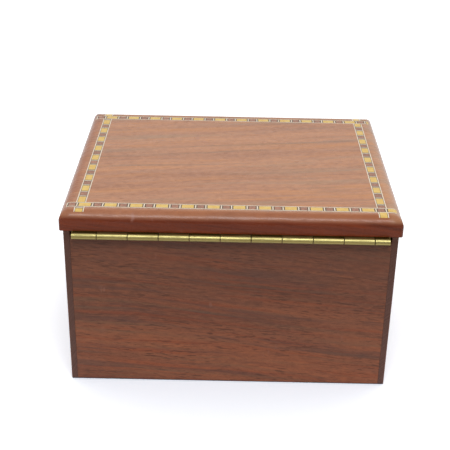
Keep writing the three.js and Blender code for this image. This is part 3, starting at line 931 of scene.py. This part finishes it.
screws = {
    "steps": 18, "sharpAngle": 35, "slotWidth": 0.55 * mm, "slotDepth": 0.45 * mm, "turnSeed": 11,
    "threadPitch": 0.95 * mm, "threadDepth": 0.16, "ridgeWidth": 0.28, "ringsPerTurn": 5,
    "plainShare": 0.25, "taperTurns": 1.6, "tipShare": 0.25, "pointShare": 0.12, "neckShare": 0.97,
    "neckLength": 0.2 * mm, "headRims": ((0.12 * mm, 0.05 * mm), (0.05 * mm, 0.0), (0.0, 0.06 * mm)),
    # row: node names, body, slot, way the heads face, radius, head radius
    "rows": {
        "hinge_box_screws": ([f"hinge_box_screw_{number}" for number in range(1, 6)], "case", "screw_brass",
                             (0, 0, 1), 1.1 * mm, 2.0 * mm),
        "hinge_lid_screws": ([f"hinge_lid_screw_{number}" for number in range(1, 6)], "lid", "screw_brass",
                             (0, 0, -1), 1.1 * mm, 2.0 * mm),
        "lock_block_screws": (["lock_block_screw_left", "lock_block_screw_right"], "case", "lock_metal",
                              (0, 1, 0), 1.5 * mm, 2.9 * mm),
    },
}


def screwMesh(radius, headRadius, length):
    # from the point up to the head, whose top is at zero
    core = radius * (1 - screws["threadDepth"])
    pitch = screws["threadPitch"]
    neck = radius * screws["neckShare"]
    shoulder = radius - headRadius
    threadTop = shoulder - screws["plainShare"] * length

    def threaded(angle, along):
        share = (along / pitch - angle / (2 * math.pi)) % 1
        taper = min(1, max(0, (along + length) / (screws["taperTurns"] * pitch)))
        ridge = max(0, 1 - abs(share - 0.5) / screws["ridgeWidth"])
        return (core + (radius - core) * ridge) * (screws["tipShare"] + (1 - screws["tipShare"]) * taper)

    step = pitch / screws["ringsPerTurn"]
    rings = [(-length, screws["pointShare"] * radius)]
    along = -length + step
    while along < threadTop:
        rings.append((along, threaded))
        along += step
    rings += [(threadTop, core), (threadTop + screws["neckLength"], neck), (shoulder, neck)]
    rings += [(-down, headRadius - inward) for down, inward in screws["headRims"]]
    return turned("screw", rings, screws["steps"], (0, 0, 1), (0, 0, 0))


def slottedScrew(radius, headRadius, length):
    shape = bmesh.new()
    bmesh.ops.create_cube(shape, size=1)
    shape.transform(Matrix.Diagonal((headRadius * 3, screws["slotWidth"], screws["slotDepth"] * 2, 1)))
    cutter = newObject("slotCutter", meshOf(shape, "slotCutter"))
    blank = newObject("screw", screwMesh(radius, headRadius, length))
    slot = blank.modifiers.new("slot", "BOOLEAN")
    slot.operation = "DIFFERENCE"
    slot.solver = "EXACT"
    slot.object = cutter
    screw = newObject("screw", evaluatedMesh(blank, "screw"))
    bpy.data.objects.remove(cutter)
    return screw


def screwTree():
    tree, given = newTree("screwRow", Count=1, First=(0.0, 0.0, 0.0), Step=(0.0, 0.0, 0.0),
                          Turn=(0.0, 0.0, 0.0), SlotSeed=0, Metal=brasses["screw"])
    tree.interface.new_socket("Screw", in_out="INPUT", socket_type="NodeSocketObject")
    screw = addNode(tree, "GeometryNodeObjectInfo", Object=given["Screw"]).outputs["Geometry"]
    points = geometryNode(tree, "MeshLine", Count=given["Count"], Start_Location=given["First"],
                          Offset=given["Step"])
    spin = addNode(tree, "FunctionNodeRandomValue", data_type="FLOAT", Seed=given["SlotSeed"])
    for socket, value in zip([item for item in spin.inputs if item.enabled], (0.0, math.pi)):
        socket.default_value = value
    row = geometryNode(tree, "InstanceOnPoints", Points=points, Instance=screw, Rotation=given["Turn"])
    row = geometryNode(tree, "RotateInstances", Instances=row, Rotation=vector(tree, z=spin.outputs[1]))
    whole = geometryNode(tree, "RealizeInstances", Geometry=row)
    closeTree(tree, geometryNode(tree, "SetMaterial", Geometry=whole, Material=given["Metal"]))
    return tree


def headTop(node, facing):
    # the middle of the screw's head, and its whole length
    low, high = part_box(node)
    length = abs((high - low).dot(facing))
    return (low + high) / 2 + facing * (length / 2), length


def makeScrews():
    tree = screwTree()
    for name, (nodes, body, slot, facing, radius, headRadius) in screws["rows"].items():
        facing = Vector(facing)
        places, lengths = zip(*(headTop(node, facing) for node in nodes))
        screw = slottedScrew(radius, headRadius, lengths[0])
        turn = Vector((0, 0, 1)).rotation_difference(facing).to_euler()
        if facing[2] < 0:  # half a turn, about X
            turn = Euler((math.pi, 0, 0))
        piece = treePiece(name, tree, Count=len(places), First=places[0], Turn=turn, Screw=screw,
                          Step=(places[-1] - places[0]) / (len(places) - 1),
                          SlotSeed=screws["turnSeed"] + len(places))
        mesh = evaluatedMesh(piece, name)
        bpy.data.objects.remove(screw)
        asPiece(name, smoothed(mesh, screws["sharpAngle"]), body, slot, *nodes)


makeScrews()
print("screws made")


# Studio: white floor, a tent that is brighter behind the box, and one softbox

studio = {
    "floorSize": 6.0, "floorGlow": 0.515, "floorShade": 0.93, "floorBounce": 0.5,
    # shade that the box leaves on the floor: a wide one on its hinge side, and a narrow one all round
    "shadeTint": (0.12, 0.2, 0.31), "shadeReach": 0.2, "shadeLean": (0.0, -0.6, 0.8), "contactReach": 0.05,
    "shadeSamples": 8,
    "tentLevels": (-0.6, 0.5, 0.85, 0.13),                    # from and to along Y, and its levels there
    "softboxSize": (1.95, 0.93), "softboxPlace": (-0.1, 1.58, 2.69), "softboxPower": 66.5,
    "softboxColour": (0.97, 1.0, 1.06),
}


def seenRays(tree):
    rays = addNode(tree, "ShaderNodeLightPath").outputs
    return most(most(rays["Is Camera Ray"], rays["Is Glossy Ray"]), rays["Is Transmission Ray"])


def floorShade(tree, reach, **lean):
    return addNode(tree, "ShaderNodeAmbientOcclusion", samples=studio["shadeSamples"], Distance=reach,
                   **lean).outputs["AO"]


def blended(tree, kind, *inputs):
    node = addNode(tree, kind)
    for socket, value in zip(node.inputs, inputs):
        tree.links.new(value, socket)
    return node.outputs[0]


def makeFloor():
    half = studio["floorSize"] / 2
    mesh = bpy.data.meshes.new("floor")
    corners = [(-half, -half, 0), (half, -half, 0), (half, half, 0), (-half, half, 0)]
    mesh.from_pydata(corners, [], [(0, 1, 2, 3)])
    floor = newObject("floor", mesh)
    material = bpy.data.materials.new("floorPaper")
    material.use_nodes = True
    tree = material.node_tree
    tree.nodes.clear()
    shade = least(floorShade(tree, studio["shadeReach"], Normal=vector(tree, *studio["shadeLean"])),
                  floorShade(tree, studio["contactReach"]))
    glow = addNode(tree, "ShaderNodeEmission", Color=mixed(shade, studio["shadeTint"], (1, 1, 1)),
                   Strength=studio["floorGlow"])
    paper = addNode(tree, "ShaderNodeBsdfDiffuse", Color=(studio["floorShade"],) * 3)
    bounce = addNode(tree, "ShaderNodeBsdfDiffuse", Color=(studio["floorBounce"],) * 3)
    seen = blended(tree, "ShaderNodeAddShader", glow.outputs[0], paper.outputs[0])
    chosen = blended(tree, "ShaderNodeMixShader", seenRays(tree), bounce.outputs[0], seen)
    tree.links.new(chosen, addNode(tree, "ShaderNodeOutputMaterial").inputs[0])
    mesh.materials.append(material)


def makeWorld():
    world = bpy.data.worlds.new("tent")
    scene.world = world
    world.use_nodes = True
    tree = world.node_tree
    tree.nodes.clear()
    rays = addNode(tree, "ShaderNodeLightPath").outputs
    direction = separated(addNode(tree, "ShaderNodeTexCoord").outputs["Generated"])
    level = most(span(direction[1], *studio["tentLevels"], smooth=True), rays["Is Camera Ray"])
    lit = addNode(tree, "ShaderNodeBackground", Color=(1, 1, 1), Strength=level)
    output = addNode(tree, "ShaderNodeOutputWorld")
    tree.links.new(lit.outputs[0], output.inputs[0])


def makeSoftbox():
    data = bpy.data.lights.new("softbox", "AREA")
    data.shape = "RECTANGLE"
    data.size, data.size_y = studio["softboxSize"]
    data.energy = studio["softboxPower"]
    data.color = studio["softboxColour"]
    newObject("softbox", data).location = studio["softboxPlace"]


cameraView = {"lens": 80.06, "place": (0.0023, 0.6647, 0.4153), "turn": (63.0154, -0.9613, -179.3498)}


def makeCamera():
    data = bpy.data.cameras.new("camera")
    data.lens = cameraView["lens"]
    data.clip_start = 0.01
    camera = newObject("camera", data)
    camera.location = cameraView["place"]
    camera.rotation_euler = Euler([math.radians(angle) for angle in cameraView["turn"]], "XYZ")
    scene.camera = camera


makeFloor()
makeWorld()
makeSoftbox()
makeCamera()
print("studio made")
